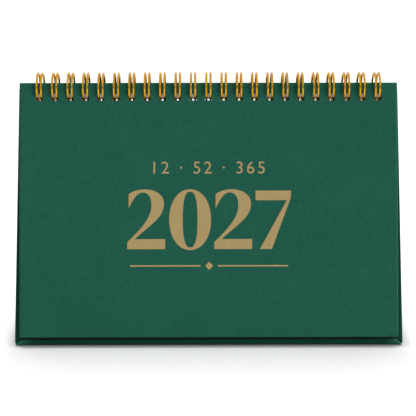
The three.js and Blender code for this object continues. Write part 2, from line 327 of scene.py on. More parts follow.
def tan_foil():
    """Matt foil with the cloth's grain in its colour and its bump."""
    material, tree, place = start_material("matt_champagne_foil")
    speck = add(tree, "ShaderNodeTexNoise", Vector=place, Scale=repeats(FOIL_SPECK),
                Detail=4.0, Roughness=0.55).outputs["Fac"]
    colour = add(tree, "ShaderNodeValToRGB", Fac=speck, stops=shades("#9e885a", "#ac9562"))
    bump = add(tree, "ShaderNodeBump", Height=speck, Strength=0.25, Distance=0.03 * MM)
    shader = add(tree, "ShaderNodeBsdfPrincipled", Base_Color=colour.outputs["Color"],
                 Normal=bump.outputs["Normal"], Metallic=0.25, Roughness=0.5)
    add(tree, "ShaderNodeOutputMaterial", Surface=shader.outputs["BSDF"])
    return material


champagne_foil = tan_foil()
print("foil finish:", champagne_foil.name)

# %% [markdown]
# The parts that keep their solid from the frame need a finish too, inside the tent as well
# as outside. The record names a material slot for each part, so the finish follows from the
# slot. The easel's cloth is a little deeper than the cover's: painted shade, for the cover's shadow.

# %% Finishes of the frame's own parts
finish_of_slot = {
    "green_cloth": easel_cloth_painted_shade,
    "grey_board": black_board_and_hole_shade,
    "lining_paper": lining_paper,
    "leaf_paper": leaf_paper,
    "gold_wire": gold_wire,
}
for part in frame["record"]["subparts"]:
    mesh = frame["nodes"][part["node"]].data
    mesh.materials.clear()
    mesh.materials.append(finish_of_slot[part["material_slot"]])
print("finishes:", ", ".join(finish_of_slot))

# %% [markdown]
# Cloth turned over a board leaves no sharp arris: it rolls over the edge in a small radius
# and runs down the side. A Bevel modifier could round a box, but it would also round the
# punched holes. So the roll is a profile, worked out once and laid along every edge.

# %% The roll of cloth over an edge
ROLL_STEPS = 7


def rolled_edge(width, height, side_drop, power):
    """Offsets from the outer edge, and drops below the face, along the roll and down the side.

    offset = width (1 - sin^(2/power)) and drop = height (1 - cos^(2/power)). A power of 2 is a
    quarter ellipse, and a lower one is nearer to a flat bevel with soft ends.
    """
    turn = np.linspace(0, np.pi / 2, ROLL_STEPS + 1)
    inset = np.append(width * (1 - np.sin(turn) ** (2 / power)), 0.0)
    drop = np.append(height * (1 - np.clip(np.cos(turn), 0, 1) ** (2 / power)), side_drop)
    return inset, drop


print("points along a roll:", len(rolled_edge(0.5, 0.5, 1.9, 2.0)[0]))

# %% [markdown]
# Each cloth is a grid that lies flat over its board. Holes could be cut with a Boolean, but
# that leaves a torn mesh. Here the grid has lines exactly at the holes' sides and ends, and
# the faces inside the holes are simply left out. The outer lines follow the roll.

# %% Grid of a covered face, with its holes
LOOPS = 23
LOOP_PITCH = 25.4 / 3
HOLE = 4.0
loop_centres = (np.arange(LOOPS) - (LOOPS - 1) / 2) * LOOP_PITCH


def face_grid(half_width, top, bottom, hole_depth, side_line, thickness, roll, foot=None):
    """Places across and down the slope, half widths, drops below the face, and faces.

    half_width gives half the width at a depth. Columns are the rolled sides, a line near each
    of them and both sides of each hole. Rows are the rolled top, both ends of the holes, and
    the rolled bottom or the foot's own rows. A drop is the larger of its column's and its row's.
    """
    side_width, end_width, height, power = roll
    inset, side_drop = rolled_edge(side_width, height, thickness, power)
    end_inset, end_drop = rolled_edge(end_width, height, thickness, power)
    foot_rows, foot_drop = (-end_inset, end_drop) if foot is None else foot
    hole_sides = np.concatenate([loop_centres - HOLE / 2, loop_centres + HOLE / 2])
    lines = np.sort(np.concatenate([hole_sides, [-side_line, side_line]]))
    hole_rows = hole_depth + np.array([-HOLE, HOLE]) / 2
    depth = np.concatenate([top + end_inset[::-1], hole_rows, bottom + np.array(foot_rows)])[:, None]
    row_drop = np.concatenate([end_drop[::-1], [0.0, 0.0], foot_drop])[:, None]
    column_drop = np.concatenate([side_drop[::-1], np.zeros(len(lines)), side_drop])[None, :]
    half = half_width(depth)
    middle = np.broadcast_to(lines, (len(depth), len(lines)))
    x = np.concatenate([-half + inset[::-1], middle, half - inset], axis=1)
    keep = np.ones((x.shape[0] - 1, x.shape[1] - 1), bool)
    first_hole = len(inset) + 1
    keep[len(end_inset), first_hole:first_hole + 2 * LOOPS:2] = False
    depth = np.broadcast_to(depth, x.shape).copy()
    return x, depth, half, np.maximum(column_drop, row_drop), grid_faces(*x.shape, keep)[:, ::-1]


print("holes in each layer:", LOOPS, "from", loop_centres[0].round(2), "to", loop_centres[-1].round(2))

# %% [markdown]
# Where two rolls meet, the cloth is folded in at the corner and comes out round. The grid's
# corner is square, so its points are drawn in until the corner is a quarter circle. The same
# is done at each end that has a roll.

# %% Round corners
def round_corner(x, depth, half, end, outward, roll):
    """Draws in both corners at one end. outward is -1 at the top and +1 at the bottom.

    p and q are the shares of the roll past its inner corner, across and along. Both are kept
    in the ratio max(p, q) / sqrt(p^2 + q^2).
    """
    side_width, end_width = roll[:2]
    p = np.clip(1 - (half - np.abs(x)) / side_width, 0, 1)
    q = np.clip(1 - outward * (end - depth) / end_width, 0, 1)
    reach = np.maximum(np.hypot(p, q), 1e-9)
    draw_in = np.where((p > 0) & (q > 0), 1 - np.maximum(p, q) / reach, 0)
    return x - np.sign(x) * p * side_width * draw_in, depth - outward * q * end_width * draw_in


corner_x, corner_depth = round_corner(np.array(10.0), np.array(0.0), 10.0, 0.0, -1, (1.0, 1.0))
print("a square corner at 10, 0 is drawn in to", corner_x.round(2), corner_depth.round(2))

# %% [markdown]
# The hard cover hangs on the ring, so its hole's depth follows from the ring: the wire passes
# each layer where a right triangle in the ring says. Its cloth is glued down tight, with no
# wrinkle to simulate, so the rolled grid is all that it needs. The roll is flatter than a
# quarter circle, because the board's edges were pressed in the making.

# %% Cloth of the cover
RING_RADIUS = 8.0
COVER_WIDTH = 208.1
COVER_HEIGHT = 140.2
COVER_INNER = 4.95
COVER_THICKNESS = 1.25
COVER_OUTER = COVER_INNER + COVER_THICKNESS
COVER_CLOTH = 0.15
HOLE_DROP = 7.9
# A roll's width at the sides, its width at the ends, its height and its power.
COVER_ROLL = (0.9, 0.6, 0.9, 1.6)
# A line of points just inside each side keeps the roll's shading out of the flat face.
SIDE_LINE_INSET = 3.0


def wire_depth(out):
    """Depth at which the ring passes a layer: the other side of a right triangle in the ring."""
    return math.sqrt(RING_RADIUS ** 2 - out ** 2)


cover_hole = wire_depth(COVER_INNER + COVER_THICKNESS / 2)
cover_top = cover_hole - HOLE_DROP


def covered_sheet(margin, outer, thickness, roll):
    """Points and faces of a face as large as the cover less a margin, with all edges rolled."""
    top, bottom = cover_top + margin, cover_top + COVER_HEIGHT - margin
    x, depth, half, drop, faces = face_grid(lambda at: np.full_like(at, COVER_WIDTH / 2 - margin),
                                            top, bottom, cover_hole, COVER_WIDTH / 2 - SIDE_LINE_INSET,
                                            thickness, roll)
    for end, outward in ((top, -1), (bottom, 1)):
        x, depth = round_corner(x, depth, half, end, outward, roll)
    return on_slope(x, depth, outer - drop, side=1), faces


points, faces = covered_sheet(0.0, COVER_OUTER, COVER_THICKNESS, COVER_ROLL)
cover_cloth = thicken(new_piece("cover_cloth", points, faces, green_cloth), COVER_CLOTH)
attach(cover_cloth, "cover")
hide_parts("cover_wrap")
print("cover cloth:", len(faces), "faces, holes", round(cover_hole, 2), "mm down the slope")

# %% [markdown]
# Inside the cloth is the cover's stiff board. Its edges are bevelled like the roll, or black
# corners would come through the cloth. The same grid makes its outer face, a second layer
# lies flat behind it, and a wall closes every open edge, those of the holes too.

# %% Board inside the cover
CORE_INSET = 0.3
CORE_SINK = 0.25
CORE_THICKNESS = 0.75
CORE_ROLL = (0.6, 0.35, 0.6, 1.6)
# The bevelled side stops short of the back, so that the wall behind it keeps some height.
CORE_SIDE_STOP = 0.02


def slab(front, back, faces):
    """Closed solid between two layers of points.

    The faces are used as they are in front and turned round behind. A wall joins the layers at
    each open edge, which is an edge that only one face uses.
    """
    edges = np.concatenate([faces[:, [0, 1]], faces[:, [1, 2]], faces[:, [2, 3]], faces[:, [3, 0]]])
    _, which, uses = np.unique(np.sort(edges, axis=1), axis=0, return_inverse=True, return_counts=True)
    start, end = edges[uses[which.ravel()] == 1].T
    behind = len(front)
    walls = np.stack([end, start, start + behind, end + behind], axis=1)
    return np.concatenate([front, back]), np.concatenate([faces, faces[:, ::-1] + behind, walls])


core_outer = COVER_OUTER - CORE_SINK
outward = np.array([0, -math.cos(LEAN), math.sin(LEAN)])
points, faces = covered_sheet(CORE_INSET, core_outer, CORE_THICKNESS - CORE_SIDE_STOP, CORE_ROLL)
front = points.reshape(-1, 3)
above_back = (front - RING_CENTRE) @ outward - (core_outer - CORE_THICKNESS)
points, faces = slab(front, front - above_back[:, None] * outward, faces)
cover_board = new_piece("cover_board", points, faces, black_board_and_hole_shade, smooth=False)
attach(cover_board, "cover")
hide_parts("cover_core")
print("cover board:", len(faces), "faces")

# %% [markdown]
# Both boards of the easel wear the same cloth. They widen a little towards the floor. At the
# foot the cloth isn't rolled over: it goes on round the crease. Beside the cover one sees how
# it is folded there, on a slant, as a mitre. So the foot has rows of its own: a small dip over
# the board's end, straight down, and a hidden flap that closes the corner from behind.

# %% Cloth of the easel's boards
BOARD_SET_OFF = 0.7
BOARD_THICKNESS = 1.9
BOARD_OUTER = BOARD_SET_OFF + BOARD_THICKNESS
BOARD_TOP = 0.8
BOARD_CLOTH = 0.2
BOARD_ROLL = (0.5, 0.5, 0.5, 2.0)
CREASE_DEPTH = (RING_CENTRE[2] - BOARD_THICKNESS + BOARD_SET_OFF * math.sin(LEAN)) / math.cos(LEAN)
CLOTH_END = 2.1
EASEL_TOP_WIDTH = 209.3
EASEL_BOTTOM_WIDTH = 214.1
MITRE = 0.95
FLAP = 0.75
FLAP_DROP = 1.45
FLAP_TUCK = 1.2
# Rows from the end of the cloth, with their drops. All but the first follow the mitre.
FOOT_ROWS = (-6.0, -0.5, -0.25, 0.0, 0.0, FLAP)
FOOT_DROPS = (0.0, 0.0, 0.1, 0.4, FLAP_DROP, FLAP_DROP)
MITRED_ROWS = 5
FLAP_ROWS = 2
board_hole = wire_depth(BOARD_SET_OFF + BOARD_THICKNESS / 2)


def easel_half(depth):
    """Half the easel's width: it widens evenly from the top to the crease."""
    share = (depth - BOARD_TOP) / (CREASE_DEPTH - BOARD_TOP)
    return (EASEL_TOP_WIDTH + (EASEL_BOTTOM_WIDTH - EASEL_TOP_WIDTH) * share) / 2


for name, body, side in (("front", "front_board", 1), ("rear", "rear_board", -1)):
    x, depth, half, drop, faces = face_grid(
        easel_half, BOARD_TOP, CREASE_DEPTH - CLOTH_END, board_hole, COVER_WIDTH / 2,
        BOARD_THICKNESS, BOARD_ROLL, foot=(FOOT_ROWS, FOOT_DROPS))
    x, depth = round_corner(x, depth, half, BOARD_TOP, -1, BOARD_ROLL)
    depth[-MITRED_ROWS:] += MITRE * np.clip(np.abs(x[-MITRED_ROWS:]) - COVER_WIDTH / 2, 0, None)
    x[-FLAP_ROWS:] *= 1 - FLAP_TUCK / half[-FLAP_ROWS:]
    points = on_slope(x, depth, BOARD_OUTER - drop, side)
    board_cloth = thicken(new_piece(f"{name}_board_cloth", points, faces, easel_cloth_painted_shade), BOARD_CLOTH)
    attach(board_cloth, body)
    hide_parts(f"{name}_board_wrap")
print("board cloths end", round(CREASE_DEPTH - CLOTH_END, 2), "mm down the slope")

# %% [markdown]
# The easel turns under at the bottom: the cloth runs off the board, round the crease and on
# to the base, with no stiff board in it. Seen from in front it is a soft roll with a groove
# above it. A cloth simulation could find this form, but glued cloth hardly moves, so a
# profile carried across the width is truer. Its columns are close together only where it
# changes, beside the cover and round its ends.

# %% Columns of the crease, and a smooth step
END_ROUND = 1.8
END_COLUMNS = 10
SIDE_COLUMNS = 7
MIDDLE_COLUMNS = 18
# The closer columns begin this far inside the cover's edge.
SIDE_START = 1.0


def ease(share):
    """Smooth step from 0 to 1: 3 t^2 - 2 t^3."""
    t = np.clip(share, 0, 1)
    return t * t * (3 - 2 * t)


def crease_columns():
    """Places across: even behind the cover, closer beside it, closest round the ends, by a sine."""
    end = EASEL_BOTTOM_WIDTH / 2 - END_ROUND * (1 - np.sin(np.linspace(0, math.pi / 2, END_COLUMNS)))
    beside = np.linspace(COVER_WIDTH / 2 - SIDE_START, end[0], SIDE_COLUMNS)[:-1]
    right = np.concatenate([np.linspace(0, beside[0], MIDDLE_COLUMNS)[:-1], beside, end])
    return np.concatenate([-right[:0:-1], right])


print("columns across a crease:", len(crease_columns()))

# %% [markdown]
# The profile is measured along the cloth. It starts in a groove, swells a little where the
# cloth is full, follows an arc about the crease whose radius is the board's thickness, and
# ends flat on the base. Outside the cover's width it starts further down, along the mitre.

# %% Surface round a crease
CREASE_ROWS = 29
CREASE_GAP = 1.5
GROOVE = 1.1
GROOVE_WIDTH = 1.0
BULGE = 0.2
BULGE_LENGTH = 3.2
MITRE_SLOT = 0.8
SLOT_EASE = 0.8


def crease_surface(crease, side):
    """Points of the cloth round a crease, a row for each step along the cloth.

    The angle about the crease grows by travel / thickness. The radius is the thickness, less
    the groove, plus a half sine of bulge, less the round of the ends.
    """
    x = crease_columns()[None, :]
    past_cover = np.abs(x) - COVER_WIDTH / 2
    first = MITRE * np.clip(past_cover, 0, None)
    first = first + MITRE_SLOT * ease((past_cover + SLOT_EASE / 2) / SLOT_EASE)
    bend = BOARD_THICKNESS * (math.pi / 2 + LEAN)
    travel = first + (CLOTH_END + CREASE_GAP + bend - first) * np.linspace(0, 1, CREASE_ROWS)[:, None]
    angle = math.pi - LEAN + np.clip((travel - CLOTH_END) / BOARD_THICKNESS, 0, math.pi / 2 + LEAN)
    before = np.clip(CLOTH_END - travel, 0, None)
    after = np.clip(travel - CLOTH_END - bend, 0, None)
    groove = GROOVE * (1 - ease((travel - first) / GROOVE_WIDTH))
    swell = BULGE * np.sin(math.pi * np.clip((travel - first) / BULGE_LENGTH, 0, 1))
    past = np.clip(np.abs(x) - (EASEL_BOTTOM_WIDTH / 2 - END_ROUND), 0, END_ROUND)
    radius = BOARD_THICKNESS - groove + swell - (END_ROUND - np.sqrt(END_ROUND ** 2 - past ** 2))
    y = crease[1] + side * (radius * np.cos(angle) + before * math.sin(LEAN) + after)
    z = crease[2] + radius * np.sin(angle) + before * math.cos(LEAN)
    return np.stack([np.broadcast_to(x * side, y.shape), y, z], axis=-1)


print("points of a crease:", crease_surface(FRONT_CREASE, side=1).shape[:2])

# %% [markdown]
# Both ends of each crease are painted paler: painted light, as they stand a little out of
# the shade. The mesh says how much, point by point, and the cloth's material reads it.

# %% Both creases
# How far in from each end the painted light reaches, in millimetres.
PAINTED_LIGHT_END = 9.0


def crease_cloth(name, crease, side):
    """The crease's cloth, with painted light: a smooth step over the last millimetres of each end."""
    points = crease_surface(crease, side)
    faces = grid_faces(*points.shape[:2])[:, ::-1]
    strip = thicken(new_piece(name, points, faces, easel_cloth_painted_shade), BOARD_CLOTH)
    from_end = EASEL_BOTTOM_WIDTH / 2 - np.abs(points[..., 0])
    # Painted light: the ends grow paler over their last millimetres.
    painted_light = strip.data.attributes.new("painted_light", "FLOAT", "POINT")
    painted_light.data.foreach_set("value", ease(1 - from_end / PAINTED_LIGHT_END).ravel())
    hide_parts(name.replace("_cloth", ""))
    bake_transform(strip)
    return strip


for name, body, base_body, crease, side in (
        ("front_crease_cloth", "front_board", "base_front", FRONT_CREASE, 1),
        ("rear_crease_cloth", "rear_board", "base_rear", REAR_CREASE, -1)):
    strip = crease_cloth(name, crease, side)
    print(name, "has", len(strip.data.polygons), "faces")

# %% [markdown]
# In the middle of the base the cloth alone joins the two stiff halves. It is a flat strip
# with a faint rise at the fold. Each half of the strip is fixed to its own half of the base,
# and moves with it when the easel folds.

# %% Soft strips at the middle of the base
BASE_HALF = 31.0
STRIP_RISE = 0.35
STRIP_ROWS = 13
STRIP_COLUMNS = 25
base_middle = (FRONT_CREASE[1] + REAR_CREASE[1]) / 2

for side, name, crease, body in ((1, "front", FRONT_CREASE, "base_front"),
                                 (-1, "rear", REAR_CREASE, "base_rear")):
    start = crease[1] + side * BASE_HALF
    share = np.linspace(0, 1, STRIP_ROWS)[:, None]
    across = np.linspace(-1, 1, STRIP_COLUMNS)[None, :] * EASEL_BOTTOM_WIDTH / 2
    x, y, z = np.broadcast_arrays(across, start + (base_middle - start) * share,
                                  BOARD_CLOTH + STRIP_RISE * share ** 2)
    strip = new_piece(f"centre_crease_{name}_cloth", np.stack([x, y, z], axis=-1),
                      grid_faces(STRIP_ROWS, STRIP_COLUMNS)[:, ::side], easel_cloth_painted_shade)
    thicken(strip, BOARD_CLOTH)
    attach(strip, body)
    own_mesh(strip)
    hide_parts(f"centre_crease_{name}")
    print(strip.name, "is", round(abs(base_middle - start), 1), "mm wide")

# %% [markdown]
# The comb is one length of wire. A machine first bends it flat, as a row of tall narrow loops
# on a straight spine, and then rolls it up. The same two steps make it here. Unrolled, a loop
# is a bend off the spine, a straight leg and a half-circle tip, and its mirror image.

# %% The comb's path, unrolled
TWIN_SPACING = 2.34
SPINE_BEND = 0.9
TIP_GAP = 1.7
TAIL = 2.5
LEG_STEPS = 44
TIP_STEPS = 10
BEND_STEPS = 5


def loop_path():
    """One loop about x = 0, with its distance round the ring as y. Bends and tip are arcs."""
    half = TWIN_SPACING / 2
    tip = 2 * math.pi * RING_RADIUS - TIP_GAP - half
    bend = np.linspace(-math.pi / 2, 0, BEND_STEPS + 1)
    over = np.linspace(math.pi, 0, TIP_STEPS + 1)
    leg = np.linspace(SPINE_BEND, tip, LEG_STEPS + 1)[1:-1]
    off_spine = np.stack([-half - SPINE_BEND + SPINE_BEND * np.cos(bend),
                          SPINE_BEND + SPINE_BEND * np.sin(bend)], 1)
    up = np.stack([np.full_like(leg, -half), leg], 1)
    top = np.stack([half * np.cos(over), tip + half * np.sin(over)], 1)
    half_loop = np.concatenate([off_spine, up, top[:TIP_STEPS // 2 + 1]])
    return np.concatenate([half_loop, half_loop[-2::-1] * [-1, 1]])


def comb_path():
    """All loops side by side, with the spine's tails beyond the first and the last."""
    loop = loop_path()
    path = (loop[None] + np.stack([loop_centres, np.zeros(LOOPS)], 1)[:, None]).reshape(-1, 2)
    tail = np.array([[TAIL, 0.0]])
    return np.concatenate([path[:1] - tail, path, path[-1:] + tail])


wire_steps = np.linalg.norm(np.diff(comb_path(), axis=0), axis=1)
print("wire in the comb, m:", round(wire_steps.sum() * MM, 2))

# %% [markdown]
# Rolled round a cylinder of the ring's radius, the spine runs along the inside of the tent
# and each loop goes through a hole in every layer. A curve with a bevel could make the wire,
# but its section may twist. Here the section's axes come from the ring, so the faces run
# straight along the wire. The seam is joined and both ends are closed.

# %% Round wire on the ring
WIRE = 1.22
WIRE_SIDES = 12
SPINE_ANGLE = math.radians(256.5)


def tube_on_ring(path):
    """Round wire whose middle follows the path on the ring's cylinder.

    angle = spine angle - distance round / radius. The section's axes are the ring's outward
    direction and the direction square to it and to the wire.
    """
    angle = SPINE_ANGLE - path[:, 1] / RING_RADIUS
    zero = np.zeros_like(angle)
    out = np.stack([zero, np.cos(angle), np.sin(angle)], 1)
    centre = out * RING_RADIUS + np.stack([path[:, 0], zero, zero], 1)
    along = np.gradient(centre, axis=0)
    along /= np.linalg.norm(along, axis=1, keepdims=True)
    across = np.cross(along, out)
    across /= np.linalg.norm(across, axis=1, keepdims=True)
    up = np.cross(across, along)
    turn = np.linspace(0, 2 * math.pi, WIRE_SIDES, endpoint=False)[:, None, None]
    points = centre + WIRE / 2 * (np.cos(turn) * across + np.sin(turn) * up)
    return points.transpose(1, 0, 2) + RING_CENTRE


def tube_faces(length, sides):
    """Faces round a tube of length by sides points, joined at the seam, with a flat cap at each end."""
    index = np.arange(length * sides).reshape(length, sides)
    beside = np.roll(index, -1, axis=1)
    walls = np.stack([index[:-1], beside[:-1], beside[1:], index[1:]], axis=-1).reshape(-1, 4)
    return walls.tolist() + [index[0, ::-1].tolist(), index[-1].tolist()]


ring_points = tube_on_ring(comb_path())
comb = new_piece("wire_comb_round", ring_points, tube_faces(*ring_points.shape[:2]), gold_wire)
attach(comb, "front_board")
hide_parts("wire_comb")
print("comb:", len(comb.data.polygons), "faces")

# %% [markdown]
# Foil and ink are flat drawings. Blender fills the closed outlines of a 2D curve and leaves
# inner outlines open, which is just how a stamping die works. The filled curve is made a mesh
# first, and only then laid on the slope, so that no object has to be turned.

# %% From a flat drawing to a thin film
def flat_mesh(drawing):
    """Points, x across and y up, and faces of a flat drawing, after its outlines are filled."""
    source = bpy.data.objects.new(drawing.name, drawing)
    bpy.context.scene.collection.objects.link(source)
    bpy.context.view_layer.update()
    mesh = bpy.data.meshes.new_from_object(source)
    bpy.data.objects.remove(source)
    flat = np.empty(len(mesh.vertices) * 3)
    mesh.vertices.foreach_get("co", flat)
    return flat.reshape(-1, 3)[:, :2], [list(face.vertices) for face in mesh.polygons]


def outline_curve(name, outlines):
    """A 2D curve of closed outlines, which Blender fills. Inner outlines are holes."""
    drawing = bpy.data.curves.new(name, "CURVE")
    drawing.dimensions = "2D"
    drawing.fill_mode = "BOTH"
    for outline in outlines:
        spline = drawing.splines.new("POLY")
        spline.points.add(len(outline) - 1)
        flat = np.concatenate([outline, np.zeros((len(outline), 1)), np.ones((len(outline), 1))], axis=1)
        spline.points.foreach_set("co", flat.ravel())
        spline.use_cyclic_u = True
    return drawing


def film(name, placed, faces, material, thickness):
    """A thin film with its outer face on the placed points."""
    piece = new_piece(name, placed, faces, material, smooth=False)
    wall = piece.modifiers.new("film", "SOLIDIFY")
    wall.thickness = thickness * MM
    wall.offset = -1.0
    return piece


test_square = np.array([[0.0, 0.0], [1.0, 0.0], [1.0, 1.0], [0.0, 1.0]])
print("faces of a filled square:", len(flat_mesh(outline_curve("test_square", [test_square]))[1]))

# %% [markdown]
# The year's numerals are high-contrast figures: thick sides, hairline ends and narrow
# counters. They are drawn for this calendar, in millimetres from each figure's lower left
# corner. Round strokes are cubic curves and superellipses, which keep the tension of drawn
# letters better than circles do.

# %% Outlines of the large figures
def bezier(*corners, steps=16):
    """Points of a cubic curve: the weighted sum of four corners with the Bernstein weights."""
    t = np.linspace(0, 1, steps + 1)[:, None]
    a, b, c, d = (np.array(corner, float) for corner in corners)
    return (1 - t) ** 3 * a + 3 * (1 - t) ** 2 * t * b + 3 * (1 - t) * t ** 2 * c + t ** 3 * d


def round_shape(centre, radii, squareness, steps=64):
    """A superellipse: the radii times |cos| and |sin| of the angle to the power 2 / squareness."""
    angle = np.linspace(0, 2 * math.pi, steps, endpoint=False)
    reach = np.stack([np.cos(angle), np.sin(angle)], 1)
    return np.array(centre) + np.array(radii) * np.sign(reach) * np.abs(reach) ** (2 / squareness)


def figure_zero():
    """An upright oval with a narrow counter: thick sides and hairline ends."""
    return [round_shape((11.5, 16.2), (11.5, 16.7), 2.1), round_shape((11.5, 16.2), (4.05, 15.3), 2.6)]


def figure_two():
    """A cut start, a thick bowl that thins as it comes down, and a heavy flat base."""
    start = np.array([[0.76, 22.8]])
    arch = bezier((0.76, 30.2), (3.0, 31.9), (6.0, 32.85), (9.6, 32.85))
    bowl = bezier((9.6, 32.85), (16.0, 32.85), (20.2, 29.6), (20.2, 24.9))
    stroke = bezier((20.2, 24.9), (20.2, 17.0), (12.0, 13.2), (4.15, 5.5))
    base = np.array([[20.8, 5.5], [20.8, 0.0], [0.0, 0.0]])
    back = bezier((0.0, 3.8), (8.0, 11.5), (13.3, 17.5), (13.3, 24.2))
    inner = bezier((13.3, 24.2), (13.3, 28.6), (11.4, 31.15), (8.7, 31.15))
    hook = bezier((8.7, 31.15), (5.2, 31.15), (3.2, 27.0), (0.9, 22.8))
    return [np.concatenate([start, arch, bowl[1:], stroke[1:], base, back, inner[1:], hook[1:]])]


def figure_seven():
    """A heavy bar and a straight stem that swells towards its foot."""
    return [np.array([[0.0, 32.1], [19.5, 32.1], [19.3, 28.0], [8.95, 0.0], [2.35, 0.0],
                      [17.2, 26.8], [0.0, 26.8]])]


print("points in a two:", len(figure_two()[0]))

# %% [markdown]
# The die presses all the foil in one stroke, a fiftieth of a millimetre thick. Each figure is
# its own piece, so that it can be changed by itself. Heights on the cover are measured down
# from its top edge, and the places across from its middle.

# %% The year in foil
FOIL = 0.02
FIGURE_FOOT = -91.65
FIGURES = ((figure_two, -44.75), (figure_zero, -21.7), (figure_two, 3.05), (figure_seven, 25.8))


def stamp(name, drawing):
    """Turns a flat drawing, x across and y up from the cover's top edge, into foil on the cover."""
    flat, faces = flat_mesh(drawing)
    placed = on_slope(flat[:, 0], cover_top - flat[:, 1], COVER_OUTER + FOIL, side=1)
    piece = film(name, placed, faces, champagne_foil, FOIL)
    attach(piece, "cover")
    return piece


for number, (draw, left) in enumerate(FIGURES, 1):
    outlines = [outline + [left, FIGURE_FOOT] for outline in draw()]
    stamp(f"foil_figure_{number}", outline_curve(f"foil_figure_{number}", outlines))
print("figures stamped:", len(FIGURES))

# %% [markdown]
# Above the year stands a small line of plain numbers: how many months, weeks and days it has.
# It could be drawn like the large figures, but at this size Blender's own plain letters do
# as well. Below is a rule in two parts with a diamond between them, a common ornament.

# %% Small figures, the rule and the diamond
SMALL_LINE = -50.1
SMALL_SHIFT = -0.4
SMALL_HEIGHT = 6.95
LETTER_SPACE = 1.26
# The height of a digit as a share of the built-in letters' size.
DIGIT_SHARE = 0.73
RULE_DEPTH = -100.85
RULE = 0.78
RULE_PARTS = {"left": (-43.25, -4.5), "right": (5.0, 43.65)}
DIAMOND_MIDDLE = 0.2
DIAMOND = (2.2, 2.3)

small = bpy.data.curves.new("foil_small_line", "FONT")
small.body = "12 · 52 · 365"
small.size = SMALL_HEIGHT / DIGIT_SHARE
small.space_character = LETTER_SPACE
small.align_x = "CENTER"
small.offset_x = SMALL_SHIFT
small.offset_y = SMALL_LINE
stamp("foil_small_line", small)

for name, (left, right) in RULE_PARTS.items():
    low, high = RULE_DEPTH - RULE / 2, RULE_DEPTH + RULE / 2
    bar = np.array([[left, low], [right, low], [right, high], [left, high]])
    stamp(f"foil_rule_{name}", outline_curve(f"foil_rule_{name}", [bar]))

points_of_compass = np.array([[1, 0], [0, 1], [-1, 0], [0, -1]])
diamond = points_of_compass * DIAMOND + [DIAMOND_MIDDLE, RULE_DEPTH]
stamp("foil_diamond", outline_curve("foil_diamond", [diamond]))
print("small line, rule and diamond stamped")

# %% [markdown]
# The leaves behind the cover carry the months in plain numbers. Ink is offset black with a
# touch of green. It soaks into the uncoated paper, so it has hardly any gloss, and it is a
# little uneven where the paper drinks it. A print could be painted into the paper's material,
# but then its edges would be as coarse as the picture. As a film a hundredth of a millimetre
# thick it stays sharp. The real speck is finer, and is drawn at 0.3 mm so that it shows.

# %% Printing ink
INK = 0.01
INK_SPECK = 0.3


def printing_ink():
    """Soft green black, with a fine speck in its colour and its bump."""
    material, tree, place = start_material("offset_printing_ink")
    speck = add(tree, "ShaderNodeTexNoise", Vector=place, Scale=repeats(INK_SPECK),
                Detail=3.0, Roughness=0.55).outputs["Fac"]
    colour = add(tree, "ShaderNodeValToRGB", Fac=speck, stops=shades("#26352f", "#33443d"))
    bump = add(tree, "ShaderNodeBump", Height=speck, Strength=0.2, Distance=INK * MM)
    shader = add(tree, "ShaderNodeBsdfPrincipled", Base_Color=colour.outputs["Color"],
                 Normal=bump.outputs["Normal"], Roughness=0.6, Specular_IOR_Level=0.3)
    add(tree, "ShaderNodeOutputMaterial", Surface=shader.outputs["BSDF"])
    return material


ink = printing_ink()
print("ink:", ink.name, "in a film of", INK, "mm")

# %% [markdown]
# A page holds a month's number and up to 31 dates. Text could be placed for each of them, but
# filling letters takes time, and every page needs the same numbers. So each number is made a
# flat mesh once, with few steps in its curves, and its points are then moved to each place.

# %% One flat mesh for each number
DATE_HEIGHT = 4.2
MONTH_HEIGHT = 9.0
CURVE_STEPS = 3


def number_mesh(text, height):
    """Flat mesh of a plain number, starting at x = 0, with its digits height tall."""
    letters = bpy.data.curves.new("number_" + text, "FONT")
    letters.body = text
    letters.size = height / DIGIT_SHARE
    letters.resolution_u = CURVE_STEPS
    return flat_mesh(letters)


date_meshes = {day: number_mesh(str(day), DATE_HEIGHT) for day in range(1, 32)}
month_meshes = {month: number_mesh(f"{month:02d}", MONTH_HEIGHT) for month in range(1, 13)}
print("numbers drawn:", len(date_meshes) + len(month_meshes))

# %% [markdown]
# A page is a large month number, a heavy head line, and a ruled row for each week with its
# dates. The calendar module knows on which weekday a month starts, so the dates stand where
# they really fall. All the meshes of a page are joined by adding up their point numbers.

# %% A month's page
YEAR = 2027
WEEK_DAYS = 7
WEEKS = 6
GRID_WIDTH = 182.0
GRID_TOP = 36.0
GRID_HEIGHT = 90.0
GRID_LINE = 0.25
HEAD_LINE = 0.8
MONTH_FOOT = 31.0
DATE_INSET = (2.0, 6.4)
CELL = (GRID_WIDTH / WEEK_DAYS, GRID_HEIGHT / WEEKS)


def rules():
    """Flat mesh of the head line and a thin line below each week, as upright rectangles."""
    depth = GRID_TOP + CELL[1] * np.array([*range(1, WEEKS + 1), 0])
    thick = np.array([GRID_LINE] * WEEKS + [HEAD_LINE])
    low, high = -depth - thick / 2, -depth + thick / 2
    left, right = np.full_like(low, -GRID_WIDTH / 2), np.full_like(low, GRID_WIDTH / 2)
    corners = np.stack([left, low, right, low, right, high, left, high], axis=1)
    return corners.reshape(-1, 2), np.arange(4 * len(low)).reshape(-1, 4).tolist()


